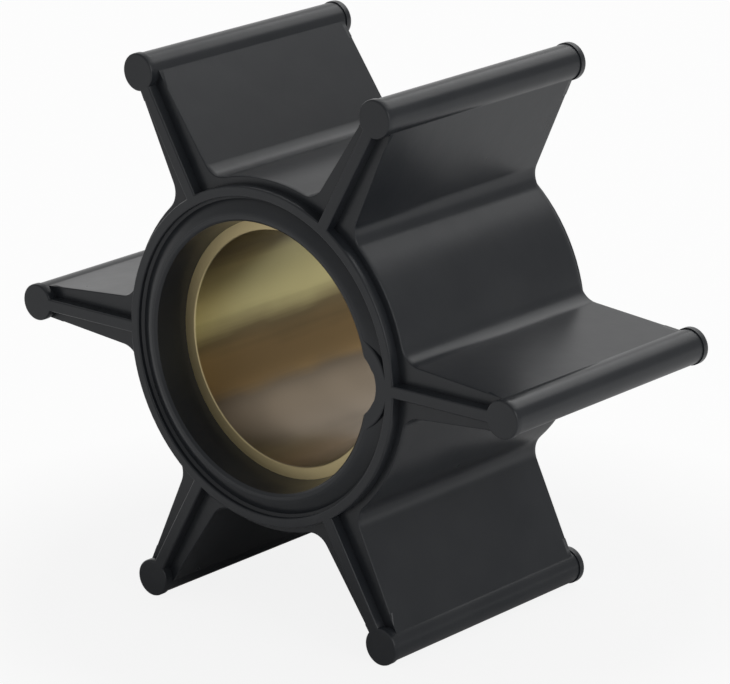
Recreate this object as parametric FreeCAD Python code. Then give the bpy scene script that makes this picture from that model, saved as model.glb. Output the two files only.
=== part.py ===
import FreeCAD, Part
import math
import os

# Pump impeller: one rubber moulding with six straight vanes round a hub, and
# the brass bush that sits in the hub.  The axis runs along Y, the face with
# the bush in view looks towards -Y, and one vane points along +X.
# All lengths are in millimetres.

# Vanes
vane_count = 6
bead_centre_radius = 26.5
bead_radius = 1.56
bead_neck_fillet = 0.5
flank_half_at_hub = 2.33
flank_half_at_bead = 1.40
vane_root_fillet = 1.9

# Hub
hub_radius = 15.6
body_width = 24.0

# Raised sealing profile, the same on both end faces
profile_height = 1.0
ring_outer_radius = 14.95
ring_width = 0.9
lip_width = 0.7
lip_edge_chamfer = 0.2
groove_wall = 0.4
groove_depth = 0.65
rib_width = 1.1
end_disk_radius = 1.66
end_disk_thickness = 0.65

# Recess from the lip down to the bush, deeper on the seen face
mouth_radius = 11.95
recess_draft = 8.0
front_recess_depth = 3.3
back_recess_depth = 2.0

# Bush
bush_outer_radius = 13.6
bush_bore_radius = 10.4
bush_edge_chamfer = 0.1
keyway_width = 4.8
keyway_depth = 1.4

# Relief in both lips that lets the key past, in line with the keyway, and the
# flat land of rubber that the lip spreads into round it
relief_clearance = 1.25
relief_radius = 3.2
relief_corner_fillet = 3.5
relief_land = 1.2

face_y = body_width / 2 + profile_height
recess_depths = {-1: front_recess_depth, 1: back_recess_depth}
bush_ends = {side: side * (face_y - depth) for side, depth in recess_depths.items()}
keyway_reach = bush_bore_radius + keyway_depth
relief_centre_x = keyway_reach + relief_clearance - relief_radius
CENTRE = FreeCAD.Vector(0, 0, 0)
AXIS = FreeCAD.Vector(0, 1, 0)
# Turning about this direction takes +X towards +Z.
X_TO_Z = FreeCAD.Vector(0, -1, 0)


def cylinder(radius, y0, y1, x=0.0):
    """Cylinder along the axis between two levels, in either order."""
    low, high = min(y0, y1), max(y0, y1)
    return Part.makeCylinder(radius, high - low, FreeCAD.Vector(x, low, 0), AXIS)


def fillet_centre(round_x, reach, fillet, beyond):
    """Centre of a fillet that touches a vane's upper flank and a round form.

    The round form is centred on the vane's middle line at round_x, and reach
    is its radius plus the fillet's.  The flank is the straight line through
    the two stated half thicknesses."""
    slope = (flank_half_at_bead - flank_half_at_hub) / (bead_centre_radius - hub_radius)
    lift = flank_half_at_hub - slope * hub_radius + fillet * math.hypot(1, slope)
    a = 1 + slope * slope
    b = slope * lift - round_x
    c = round_x * round_x + lift * lift - reach * reach
    root = math.sqrt(b * b - a * c)
    x = (-b + root) / a if beyond else (-b - root) / a
    return x, lift + slope * x, math.atan(slope)


def vane_edges(turn, y):
    """Outline of one vane, turned to its place, and where it leaves the hub."""

    def place(x, z):
        return FreeCAD.Vector(
            x * math.cos(turn) - z * math.sin(turn), y, x * math.sin(turn) + z * math.cos(turn)
        )

    def arc(x, z, radius, start, end):
        angles = (start, (start + end) / 2, end)
        points = [place(x + radius * math.cos(a), z + radius * math.sin(a)) for a in angles]
        return Part.Arc(*points).toShape()

    root_x, root_z, lean = fillet_centre(0.0, hub_radius + vane_root_fillet, vane_root_fillet, True)
    neck_x, neck_z, lean = fillet_centre(
        bead_centre_radius, bead_radius + bead_neck_fillet, bead_neck_fillet, False
    )
    to_flank = lean - math.pi / 2
    to_hub = math.atan2(-root_z, -root_x)
    to_bead = math.atan2(-neck_z, bead_centre_radius - neck_x)

    def flank(side):
        ends = []
        for x, z, radius in ((root_x, root_z, vane_root_fillet), (neck_x, neck_z, bead_neck_fillet)):
            ends.append(place(x + radius * math.cos(to_flank), side * (z + radius * math.sin(to_flank))))
        return Part.LineSegment(*ends).toShape()

    edges = [
        arc(root_x, -root_z, vane_root_fillet, -to_hub, -to_flank),
        flank(-1),
        arc(neck_x, -neck_z, bead_neck_fillet, -to_flank, -to_bead),
        arc(bead_centre_radius, 0.0, bead_radius, -math.pi - to_bead, math.pi + to_bead),
        arc(neck_x, neck_z, bead_neck_fillet, to_bead, to_flank),
        flank(1),
        arc(root_x, root_z, vane_root_fillet, to_flank, to_hub),
    ]
    leaves_hub = math.atan2(root_z, root_x)
    step = 2 * math.pi / vane_count
    middle = step / 2
    hub_points = [
        place(hub_radius * math.cos(a), hub_radius * math.sin(a))
        for a in (leaves_hub, middle, step - leaves_hub)
    ]
    edges.append(Part.Arc(*hub_points).toShape())
    return edges


def hub_and_vanes():
    """The moulding between its two shoulders, one outline run along the axis."""
    edges = []
    for k in range(vane_count):
        edges.extend(vane_edges(2 * math.pi * k / vane_count, -body_width / 2))
    outline = Part.Face(Part.Wire(Part.__sortEdges__(edges)))
    return outline.extrude(AXIS * body_width)


def seal_groove(side):
    """Hollow-floored groove between ring and lip, open but for the relief's land."""
    inner, outer = mouth_radius + lip_width, ring_outer_radius - ring_width
    corners = [
        (outer, groove_wall),
        (outer, 0.0),
        (inner - lip_edge_chamfer, 0.0),
        (inner, lip_edge_chamfer),
        (inner, groove_wall),
        ((inner + outer) / 2, groove_depth),
    ]
    corners = [FreeCAD.Vector(x, side * (face_y - depth), 0) for x, depth in corners]
    hollow = Part.Arc(corners[4], corners[5], corners[0]).toShape()
    section = Part.Wire(Part.makePolygon(corners[:5]).Edges + [hollow])
    groove = Part.Face(section).revolve(CENTRE, AXIS, 360)
    land = cylinder(relief_radius + relief_land, -2 * face_y, 2 * face_y, relief_centre_x)
    return groove.cut(land)


def raised_profile(side):
    """Ring, lip, ribs and end disks standing on the face towards side * Y."""
    low, high = side * body_width / 2, side * face_y
    standing = []
    rib_start = ring_outer_radius - ring_width / 2
    for k in range(vane_count):
        rib = Part.makeBox(bead_centre_radius - rib_start, profile_height, rib_width)
        rib.translate(FreeCAD.Vector(rib_start, min(low, high), -rib_width / 2))
        bead_end = cylinder(bead_radius, low, high, bead_centre_radius)
        disk = cylinder(end_disk_radius, high - side * end_disk_thickness, high, bead_centre_radius)
        for piece in (rib, bead_end, disk):
            piece.rotate(CENTRE, X_TO_Z, 360.0 * k / vane_count)
            standing.append(piece)
    seal = cylinder(ring_outer_radius, low, high).cut(seal_groove(side))
    return seal.fuse(standing)


def recess_floor_radius(side):
    return mouth_radius - recess_depths[side] * math.tan(math.radians(recess_draft))


def bush_space():
    """The room for the bush, and the tapered recesses that run out from it."""
    room = cylinder(bush_outer_radius, bush_ends[-1], bush_ends[1])
    for side in (-1, 1):
        recess = Part.makeCone(
            recess_floor_radius(side),
            mouth_radius,
            recess_depths[side],
            FreeCAD.Vector(0, bush_ends[side], 0),
            AXIS * side,
        )
        room = room.fuse(recess)
    return room


def mouth_edges(body):
    """The two round edges where the lips' flat tops meet the recesses."""
    found = []
    for edge in body.Edges:
        if isinstance(edge.Curve, Part.Circle) and abs(edge.Curve.Radius - mouth_radius) < 1e-6:
            if abs(abs(edge.Curve.Center.y) - face_y) < 1e-6:
                found.append(edge)
    return found


def key_relief(side):
    """Rounded relief through the lip and recess wall, in line with +X."""
    low, high = bush_ends[side], side * face_y
    cut = cylinder(relief_radius, low, high, relief_centre_x)
    cut = cut.fuse(cylinder(recess_floor_radius(side), low, high))
    corners = []
    for edge in cut.Edges:
        ends = [vertex.Point for vertex in edge.Vertexes]
        if len(ends) == 2 and abs(ends[0].y - ends[1].y) > recess_depths[side] / 2:
            if min(abs(end.z) for end in ends) > 1e-3 and ends[0].x > 0:
                corners.append(edge)
    return cut.makeFillet(relief_corner_fillet, corners)


def rubber_impeller():
    body = hub_and_vanes()
    for side in (-1, 1):
        body = body.fuse(raised_profile(side))
    body = body.cut(bush_space()).removeSplitter()
    body = body.makeChamfer(lip_edge_chamfer, mouth_edges(body))
    for side in (-1, 1):
        body = body.cut(key_relief(side))
    return body.removeSplitter()


def brass_bush():
    front, back = bush_ends[-1], bush_ends[1]
    wall = cylinder(bush_outer_radius, front, back).cut(cylinder(bush_bore_radius, front, back))
    bore_rims = [
        edge
        for edge in wall.Edges
        if isinstance(edge.Curve, Part.Circle) and abs(edge.Curve.Radius - bush_bore_radius) < 1e-6
    ]
    wall = wall.makeChamfer(bush_edge_chamfer, bore_rims)
    keyway = Part.makeBox(keyway_reach, back - front, keyway_width)
    keyway.translate(FreeCAD.Vector(0, front, -keyway_width / 2))
    return wall.cut(keyway).removeSplitter()


os.makedirs("parts", exist_ok=True)
for name, shape in (("rubber_impeller", rubber_impeller()), ("brass_bush", brass_bush())):
    shape.exportStep("parts/" + name + ".step")
    box = shape.BoundBox
    print(name, "valid", shape.isValid(), "solids", len(shape.Solids), "faces", len(shape.Faces))
    print("  volume", round(shape.Volume, 1), "size", round(box.XLength, 2), round(box.YLength, 2), round(box.ZLength, 2))
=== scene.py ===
import math

import bmesh
import bpy
from mathutils import Matrix, Vector


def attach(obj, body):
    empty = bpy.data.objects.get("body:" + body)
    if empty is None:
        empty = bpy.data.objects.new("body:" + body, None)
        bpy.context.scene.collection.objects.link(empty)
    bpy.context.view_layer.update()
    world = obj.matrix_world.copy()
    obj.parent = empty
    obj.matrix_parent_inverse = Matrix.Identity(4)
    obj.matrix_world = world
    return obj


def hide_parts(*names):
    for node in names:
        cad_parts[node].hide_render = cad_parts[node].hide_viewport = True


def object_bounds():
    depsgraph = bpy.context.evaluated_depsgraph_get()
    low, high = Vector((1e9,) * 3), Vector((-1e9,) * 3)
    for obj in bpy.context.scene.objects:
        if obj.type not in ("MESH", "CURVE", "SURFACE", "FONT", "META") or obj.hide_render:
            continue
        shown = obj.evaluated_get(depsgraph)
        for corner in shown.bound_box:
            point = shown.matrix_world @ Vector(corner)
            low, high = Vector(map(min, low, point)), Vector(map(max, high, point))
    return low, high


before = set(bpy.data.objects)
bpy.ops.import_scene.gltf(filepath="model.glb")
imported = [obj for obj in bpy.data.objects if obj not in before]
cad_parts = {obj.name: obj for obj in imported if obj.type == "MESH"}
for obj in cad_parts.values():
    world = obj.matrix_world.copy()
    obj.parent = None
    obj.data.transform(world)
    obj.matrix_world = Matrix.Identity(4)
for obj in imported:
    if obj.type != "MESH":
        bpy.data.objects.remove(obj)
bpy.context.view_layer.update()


# Rubber moulding
# Hub, vanes, sealing rings and end disks are one piece of black rubber, moulded
# in a polished tool.  Its edges leave the tool slightly rounded.
MILLIMETRE = 0.001
# Points this near in mm are one point.  The angles between faces are in degrees.
WELD = 0.001
FLAT_WITHIN, CREASE_OVER, SHARP_OVER = 0.2, 32, 35
ROUND_STEPS = 3


def deselect():
    bpy.ops.object.select_all(action="DESELECT")


def edit(piece):
    """Opens one piece for editing with nothing selected."""
    deselect()
    piece.select_set(True)
    bpy.context.view_layer.objects.active = piece
    bpy.ops.object.mode_set(mode="EDIT")
    bpy.ops.mesh.select_mode(type="EDGE")
    bpy.ops.mesh.select_all(action="DESELECT")


def split(*planes):
    """Adds edges where planes cross the piece that is open for editing.

    Each plane is a direction and its distance from the middle in mm."""
    for direction, distance in planes:
        bpy.ops.mesh.select_all(action="SELECT")
        place = Vector(direction) * distance * MILLIMETRE
        bpy.ops.mesh.bisect(plane_co=place, plane_no=direction)


def merged_copy(node, name):
    """A copy of a CAD node with its loose triangles joined into one skin.

    It is split down the middle, so that no flat face goes all the way round."""
    piece = node.copy()
    piece.data = node.data.copy()
    piece.name = name
    piece.parent = None
    for key in list(piece.keys()):
        if key.startswith("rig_"):
            del piece[key]
    bpy.context.scene.collection.objects.link(piece)
    edit(piece)
    bpy.ops.mesh.select_all(action="SELECT")
    bpy.ops.mesh.remove_doubles(threshold=WELD * MILLIMETRE)
    bpy.ops.mesh.customdata_custom_splitnormals_clear()
    bpy.ops.mesh.dissolve_limited(angle_limit=math.radians(FLAT_WITHIN))
    split(((1, 0, 0), 0.0))
    bpy.ops.object.mode_set(mode="OBJECT")
    return piece


def round_edges(piece, radius, passes):
    """Rounds the outward sharp edges whose two ends pass the test, all in mm."""
    edit(piece)
    skin = bmesh.from_edit_mesh(piece.data)
    for line in skin.edges:
        if line.is_convex and line.calc_face_angle() > math.radians(SHARP_OVER):
            line.select_set(passes(*[end.co / MILLIMETRE for end in line.verts]))
    bmesh.update_edit_mesh(piece.data)
    bpy.ops.mesh.bevel(offset=radius * MILLIMETRE, segments=ROUND_STEPS, affect="EDGES")
    bpy.ops.object.mode_set(mode="OBJECT")


def smooth(piece):
    """Smooth shading between creases, with the flat faces kept flat."""
    deselect()
    piece.select_set(True)
    bpy.context.view_layer.objects.active = piece
    bpy.ops.object.shade_smooth_by_angle(angle=math.radians(CREASE_OVER))
    bpy.ops.object.modifier_add(type="WEIGHTED_NORMAL")
    even = piece.modifiers[-1]
    even.keep_sharp = True
    bpy.ops.object.modifier_apply(modifier=even.name)


def at_level(height, inside=0.0, outside=math.inf):
    """Passes edges that lie this far along Y, on either side, between two radii."""

    def end_passes(end):
        return abs(abs(end.y) - height) < WELD and inside < math.hypot(end.x, end.z) < outside

    return lambda *ends: all(end_passes(end) for end in ends)


def boolean(piece, operation, tool):
    """Cuts or joins a tool piece, which is then gone."""
    deselect()
    piece.select_set(True)
    bpy.context.view_layer.objects.active = piece
    bpy.ops.object.modifier_add(type="BOOLEAN")
    step = piece.modifiers[-1]
    step.operation, step.solver, step.object = operation, "EXACT", tool
    bpy.ops.object.modifier_apply(modifier=step.name)
    bpy.data.objects.remove(tool)


# The groove between ring and lip, as radius and depth below the face in mm.  It
# falls gently from the lip's crest and is deepest beside the ring.  The last
# points lie inside the rubber that the new section is joined to.
FACE_LEVEL = 13.0
GROOVE_SECTION = (
    (12.42, 0.012),
    (12.62, 0.036),
    (12.78, 0.085),
    (12.93, 0.145),
    (13.18, 0.255),
    (13.40, 0.365),
    (13.62, 0.475),
    (13.80, 0.565),
    (13.86, 0.585),
    (13.91, 0.575),
    (13.97, 0.520),
    (14.04, 0.430),
    (14.20, 0.220),
    (14.20, 0.950),
    (12.42, 0.950),
)
GROOVE_STEPS = 144
# The new section ends inside the flat land round the key's relief, at which the
# groove stops.
KEY_RELIEF_X, KEY_LAND_RADIUS = 9.85, 3.9
KEY_LAND_STEPS = 64
rubber = merged_copy(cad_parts["rubber_impeller"], "rubber_moulding")
for side in (-1, 1):
    deselect()
    bpy.ops.mesh.primitive_circle_add(vertices=len(GROOVE_SECTION))
    valley = bpy.context.object
    for point, (radius, depth) in zip(valley.data.vertices, GROOVE_SECTION):
        point.co = Vector((-radius, side * (FACE_LEVEL - depth), 0)) * MILLIMETRE
    bpy.ops.object.mode_set(mode="EDIT")
    bpy.ops.mesh.select_all(action="SELECT")
    bpy.ops.mesh.spin(steps=GROOVE_STEPS, angle=2 * math.pi, center=(0, 0, 0), axis=(0, 1, 0))
    bpy.ops.mesh.select_all(action="SELECT")
    bpy.ops.mesh.remove_doubles(threshold=WELD * MILLIMETRE)
    bpy.ops.mesh.normals_make_consistent(inside=False)
    bpy.ops.object.mode_set(mode="OBJECT")
    deselect()
    bpy.ops.mesh.primitive_cylinder_add(
        vertices=KEY_LAND_STEPS,
        radius=KEY_LAND_RADIUS * MILLIMETRE,
        depth=3 * FACE_LEVEL * MILLIMETRE,
        location=(KEY_RELIEF_X * MILLIMETRE, 0, 0),
        rotation=(math.pi / 2, 0, 0),
    )
    boolean(valley, "DIFFERENCE", bpy.context.object)
    boolean(rubber, "UNION", valley)
edit(rubber)
bpy.ops.mesh.select_all(action="SELECT")
bpy.ops.mesh.remove_doubles(threshold=4 * WELD * MILLIMETRE)
bpy.ops.mesh.dissolve_degenerate(threshold=2 * WELD * MILLIMETRE)

# The skin is split where the flanks meet the beads and just short of the
# shoulders, so that shading at the rounded edges doesn't run over the flat faces.
VANE_COUNT, FLANK_END = 6, 24.2
SHORT_OF_SHOULDER = 11.5
vane_turns = [2 * math.pi * k / VANE_COUNT for k in range(VANE_COUNT)]
split(*(((math.cos(turn), 0, math.sin(turn)), FLANK_END) for turn in vane_turns))
split(((0, 1, 0), SHORT_OF_SHOULDER), ((0, 1, 0), -SHORT_OF_SHOULDER))
bpy.ops.object.mode_set(mode="OBJECT")

SHOULDER_LEVEL, LIP_EDGE_LEVEL = 12.0, 12.8
LIP_CREST, GROOVE_START, SHOULDER_END = 12.3, 12.7, 24.5
round_edges(rubber, 0.15, at_level(FACE_LEVEL, inside=GROOVE_START))
round_edges(rubber, 0.08, at_level(FACE_LEVEL, outside=LIP_CREST))
round_edges(rubber, 0.08, at_level(LIP_EDGE_LEVEL, outside=LIP_CREST))
round_edges(rubber, 0.10, at_level(SHOULDER_LEVEL, outside=SHOULDER_END))
smooth(rubber)
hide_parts("rubber_impeller")
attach(rubber, "root")


def feed(slot, value):
    """Links a node's input to a shade, or sets it to a plain value."""
    if isinstance(value, Shade):
        slot.id_data.links.new(value.socket, slot)
    else:
        slot.default_value = value


class Shade:
    """One output in a material's node tree, used like a number."""

    def __init__(self, socket):
        self.socket = socket

    def maths(self, operation, other, swap=False):
        step = self.socket.id_data.nodes.new("ShaderNodeMath")
        step.operation = operation
        pair = (other, self) if swap else (self, other)
        for slot, value in zip(step.inputs, pair):
            feed(slot, value)
        return Shade(step.outputs[0])

    def __add__(self, other):
        return self.maths("ADD", other)

    def __radd__(self, other):
        return self.maths("ADD", other, True)

    def __sub__(self, other):
        return self.maths("SUBTRACT", other)

    def __rsub__(self, other):
        return self.maths("SUBTRACT", other, True)

    def __mul__(self, other):
        return self.maths("MULTIPLY", other)

    def __rmul__(self, other):
        return self.maths("MULTIPLY", other, True)


class Finish:
    """A new material with its own node tree."""

    def __init__(self, name):
        self.material = bpy.data.materials.new(name)
        self.material.use_nodes = True
        self.tree = self.material.node_tree
        self.shader = self.tree.nodes["Principled BSDF"]

    def node(self, kind, settings=None, in_order=(), output=None, **named):
        """Any node: settings first, then the values or links of its inputs.

        Inputs go by name, or in order where a node has two of one name.  It gives
        the named output, or the first one in use."""
        made = self.tree.nodes.new(kind)
        for key, value in (settings or {}).items():
            if key == "stops":
                ramp = made.color_ramp
                for k, (place, colour) in enumerate(value):
                    stop = ramp.elements[k] if k < 2 else ramp.elements.new(place)
                    stop.position = place
                    stop.color = colour
            else:
                setattr(made, key, value)
        for slot, value in zip([slot for slot in made.inputs if slot.enabled], in_order):
            feed(slot, value)
        for key, value in named.items():
            feed(made.inputs[key.replace("_", " ")], value)
        in_use = [slot for slot in made.outputs if slot.enabled]
        return Shade(next(slot for slot in in_use if output in (None, slot.name)))

    def set(self, **named):
        """Sets or links inputs of the material's Principled shader by name."""
        for key, value in named.items():
            feed(self.shader.inputs[key.replace("_", " ")], value)


RUBBER_BLACK = (0.0160, 0.0185, 0.0225, 1)
RUBBER_BLOOM = (0.0245, 0.0270, 0.0310, 1)
black_rubber = Finish("black_rubber")
place = black_rubber.node("ShaderNodeTexCoord", output="Object")
bloom = black_rubber.node("ShaderNodeTexNoise", Vector=place, Scale=120.0, Detail=4.0)
flow = black_rubber.node("ShaderNodeTexNoise", Vector=place, Scale=420.0, Detail=2.0)
grain = black_rubber.node("ShaderNodeTexNoise", Vector=place, Scale=4200.0, Detail=2.0)
bloom_tones = ((0.35, RUBBER_BLACK), (0.70, RUBBER_BLOOM))
tone = black_rubber.node("ShaderNodeValToRGB", {"stops": bloom_tones}, Fac=bloom)
skin = black_rubber.node(
    "ShaderNodeBump", Height=grain, Strength=0.10, Distance=0.03 * MILLIMETRE
)
waves = black_rubber.node(
    "ShaderNodeBump", Height=flow, Normal=skin, Strength=0.25, Distance=0.06 * MILLIMETRE
)
black_rubber.set(Base_Color=tone, Roughness=0.22 + 0.10 * bloom + 0.06 * flow, Normal=waves)
black_rubber.set(Specular_IOR_Level=0.42)
rubber.data.materials.clear()
rubber.data.materials.append(black_rubber.material)


# Brass bush
# A turned brass bush that the rubber is moulded onto.  Its ends are faced bright,
# its drawn bore has painted reflections and painted shade in bands along its
# length, with a little random tarnish, and a keyway is broached through it.
bush = merged_copy(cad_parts["brass_bush"], "turned_bush")
smooth(bush)
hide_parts("brass_bush")
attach(bush, "root")

# The bore colours below are painted reflections and painted shade, not the brass's own tone; the
# faced colour is plain brass.
BRASS_PAINTED_SHADE = (0.21, 0.19, 0.115, 1)
BRASS_REFLECTED_OLIVE = (0.50, 0.445, 0.215, 1)
BRASS_REFLECTED_LINE = (0.16, 0.12, 0.062, 1)
BRASS_REFLECTED_BROWN = (0.28, 0.188, 0.088, 1)
BRASS_REFLECTED_DULL = (0.135, 0.108, 0.078, 1)
BRASS_REFLECTED_PALE = (0.25, 0.20, 0.145, 1)
BRASS_FACED = (0.66, 0.55, 0.31, 1)
# Painted reflections and painted shade in bands, by their place round the bore, as a share of a
# turn.
BORE_REFLECTION_BANDS = (
    (0.00, BRASS_REFLECTED_OLIVE),
    (0.25, BRASS_REFLECTED_PALE),
    (0.31, BRASS_REFLECTED_DULL),
    (0.385, BRASS_REFLECTED_DULL),
    (0.41, BRASS_REFLECTED_BROWN),
    (0.44, BRASS_REFLECTED_BROWN),
    (0.472, BRASS_REFLECTED_LINE),
    (0.510, BRASS_REFLECTED_OLIVE),
    (0.575, BRASS_REFLECTED_OLIVE),
    (0.615, BRASS_PAINTED_SHADE),
    (0.75, BRASS_REFLECTED_BROWN),
    (1.00, BRASS_REFLECTED_OLIVE),
)
turned_brass = Finish("turned_brass")
place = turned_brass.node("ShaderNodeTexCoord", output="Object")
drawn = turned_brass.node("ShaderNodeMapping", Vector=place, Scale=(1.0, 0.04, 1.0))
streaks = turned_brass.node("ShaderNodeTexNoise", Vector=drawn, Scale=900.0, Detail=3.0)
tarnish = turned_brass.node("ShaderNodeTexNoise", Vector=place, Scale=140.0, Detail=2.0)
across, along, height = (
    turned_brass.node("ShaderNodeSeparateXYZ", output=axis, Vector=place) for axis in "XYZ"
)
# The bore's colour is painted reflections and painted shade, placed by the angle round the bore.
turn = height.maths("ARCTAN2", -1.0 * across) * (0.5 / math.pi) + 0.5
bands = turn + 0.03 * (streaks - 0.5) + 0.03 * (tarnish - 0.5)
painted_bore_reflections = turned_brass.node("ShaderNodeValToRGB", {"stops": BORE_REFLECTION_BANDS}, Fac=bands)
# The bore's painted reflection bands stop at its two edge chamfers, given in mm along the axis.
FRONT_CHAMFER, BACK_CHAMFER = (-9.60, -9.66), (10.90, 10.96)
front_end, back_end = (
    turned_brass.node(
        "ShaderNodeMapRange", Value=along, From_Min=start * MILLIMETRE, From_Max=end * MILLIMETRE
    )
    for start, end in (FRONT_CHAMFER, BACK_CHAMFER)
)
faced = front_end + back_end
tone = turned_brass.node("ShaderNodeMix", {"data_type": "RGBA"}, (faced, painted_bore_reflections, BRASS_FACED))
turned_brass.set(Base_Color=tone, Metallic=1.0)
turned_brass.set(Roughness=0.27 + 0.12 * tarnish + 0.19 * faced)
bush.data.materials.clear()
bush.data.materials.append(turned_brass.material)


# Floor and backdrop
# A plain white table top that fills the picture, and a white wall well behind the
# impeller, outside the picture, which the rubber and the brass mirror.
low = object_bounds()[0]
BACKDROP_AWAY = Vector((-0.638, 0.726, 0.0))
BACKDROP_WIDTH, BACKDROP_HEIGHT = 3.52, 1.012
BOARD_WHITE = (0.80, 0.80, 0.80, 1)
# The share of the camera's glow that the painted contact shadow takes away.
PAINTED_CONTACT_SHADE = 0.09


def white_board(name, camera_share, mirror_share, contact=0.0):
    """White paint whose whiteness partly glows to the camera and in reflections.

    Within the contact distance of the middle, the glow is cut as a painted shadow
    of the impeller: the camera loses some of it and reflections all."""
    paint = Finish(name)
    paint.set(Base_Color=BOARD_WHITE, Roughness=0.6)
    to_camera, glossy, through = (
        paint.node("ShaderNodeLightPath", output=f"Is {kind} Ray")
        for kind in ("Camera", "Glossy", "Transmission")
    )
    spot = paint.node("ShaderNodeTexCoord", output="Object")
    away = paint.node("ShaderNodeVectorMath", {"operation": "LENGTH"}, Vector=spot)
    # A painted shadow: the glow fades towards the middle, within the contact distance.
    outside_painted_shadow = paint.node(
        "ShaderNodeMapRange", Value=away, From_Min=0.6 * contact, From_Max=contact + MILLIMETRE
    )
    seen = to_camera * (1.0 - PAINTED_CONTACT_SHADE + PAINTED_CONTACT_SHADE * outside_painted_shadow)
    share = camera_share * seen + mirror_share * (glossy + through) * outside_painted_shadow
    painted = Shade(paint.shader.outputs[0])
    glowing = paint.node("ShaderNodeEmission", Strength=1.0)
    blend = paint.node("ShaderNodeMixShader", in_order=(share, painted, glowing))
    feed(paint.tree.nodes["Material Output"].inputs["Surface"], blend)
    return paint


table_top = white_board("white_table", 0.96, 0.5, contact=0.048)
deselect()
bpy.ops.mesh.primitive_plane_add(size=6.0, location=(0, 0, low.z))
floor = bpy.context.object
floor.name = "floor"
floor.data.materials.append(table_top.material)

backdrop_paint = white_board("white_backdrop", 0.96, 0.85)
deselect()
bpy.ops.mesh.primitive_plane_add(size=1.0)
backdrop = bpy.context.object
backdrop.name = "backdrop"
backdrop.scale = (BACKDROP_WIDTH, BACKDROP_HEIGHT, 1.0)
backdrop.rotation_euler = (-BACKDROP_AWAY).to_track_quat("Z", "Y").to_euler()
backdrop.location = BACKDROP_AWAY + Vector((0, 0, low.z + BACKDROP_HEIGHT / 2))
bpy.ops.object.transform_apply(location=True, rotation=True, scale=True)
backdrop.data.materials.append(backdrop_paint.material)


# Light
# A pale room with two soft lamps: a long one above and behind the impeller and
# a square one on its right.
room = bpy.data.worlds.new("room")
bpy.context.scene.world = room
room.use_nodes = True
room.node_tree.nodes["Background"].inputs["Color"].default_value = (1, 1, 1, 1)
room.node_tree.nodes["Background"].inputs["Strength"].default_value = 0.39


def lamp(name, width, height, watts, place):
    """An oblong soft lamp that looks from its place at the impeller."""
    data = bpy.data.lights.new(name, "AREA")
    data.shape = "RECTANGLE"
    data.size, data.size_y = width, height
    data.energy = watts
    made = bpy.data.objects.new(name, data)
    made.location = place
    made.rotation_euler = (-Vector(place)).to_track_quat("-Z", "Y").to_euler()
    bpy.context.scene.collection.objects.link(made)


lamp("above_behind", 0.42, 0.12, 0.27, (0.032, 0.367, 0.338))
lamp("right", 0.30, 0.30, 0.51, (0.45, 0.0, 0.20))


# Camera
# It looks at the middle of the impeller from the front right, a little above.
AZIMUTH = math.radians(41.05)
ELEVATION = math.radians(17.11)
ROLL = math.radians(-0.78)
DISTANCE = 0.36006
FOCAL_PIXELS = 4137.2
CENTRE_X, CENTRE_Y = 358.31, 323.27
PICTURE_WIDTH, PICTURE_HEIGHT = 730, 684

back = Vector(
    (
        math.sin(AZIMUTH) * math.cos(ELEVATION),
        -math.cos(AZIMUTH) * math.cos(ELEVATION),
        math.sin(ELEVATION),
    )
)
level = Vector((math.cos(AZIMUTH), math.sin(AZIMUTH), 0.0))
upright = back.cross(level)
right = math.cos(ROLL) * level + math.sin(ROLL) * upright
up = -math.sin(ROLL) * level + math.cos(ROLL) * upright
eye = bpy.data.cameras.new("camera")
eye.sensor_width = 36.0
eye.lens = FOCAL_PIXELS / PICTURE_WIDTH * eye.sensor_width
eye.shift_x = (PICTURE_WIDTH / 2 - CENTRE_X) / PICTURE_WIDTH
eye.shift_y = (CENTRE_Y - PICTURE_HEIGHT / 2) / PICTURE_WIDTH
eye.clip_start = 0.01
eye.clip_end = 20.0
camera = bpy.data.objects.new("camera", eye)
facing = Matrix((right, up, back)).transposed().to_4x4()
camera.matrix_world = Matrix.Translation(back * DISTANCE) @ facing
bpy.context.scene.collection.objects.link(camera)
bpy.context.scene.camera = camera
bpy.context.scene.view_settings.view_transform = "Standard"
